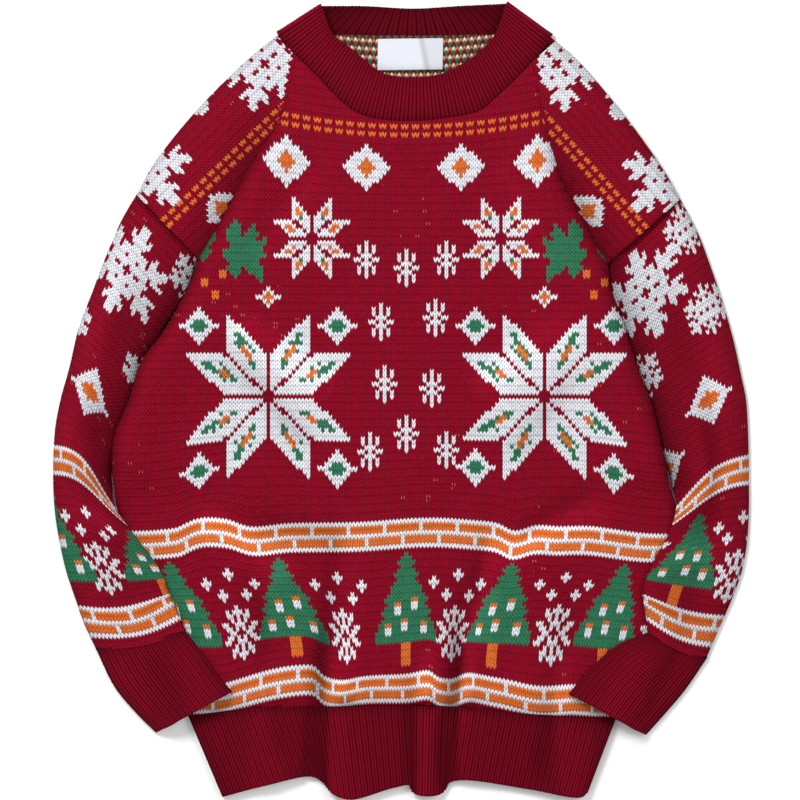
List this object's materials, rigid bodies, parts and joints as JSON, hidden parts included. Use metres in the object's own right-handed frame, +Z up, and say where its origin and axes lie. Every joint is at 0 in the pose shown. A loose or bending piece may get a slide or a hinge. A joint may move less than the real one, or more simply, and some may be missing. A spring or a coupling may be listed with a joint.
{
  "type": "christmas sweater laid flat",
  "caption": "Knitted crew-neck Christmas jumper laid flat with its arms folded down: loose drop-shoulder body, ribbed neck, cuffs and hem, bare satin neck label.",
  "frame": {"origin": "centre of the bounding box in plan, on the surface that the garment lies on", "axes": "+Z up from the surface, +Y from the hem to the neck, +X to the right as seen from above"},
  "size_m": [0.6191, 0.7102, 0.0173],
  "materials": {
    "jacquard_knit": "matt wool-look knit, crimson with white, green and orange motifs",
    "rib_knit": "matt crimson rib knit",
    "label_satin": "white woven satin, bare"
  },
  "bodies": {
    "root": {"back_panel": "jacquard_knit", "front_panel": "jacquard_knit", "left_sleeve": "jacquard_knit", "right_sleeve": "jacquard_knit", "left_cuff": "rib_knit", "right_cuff": "rib_knit", "hem_rib": "rib_knit", "neck_rib": "rib_knit", "neck_label": "label_satin"}
  },
  "joints": []
}
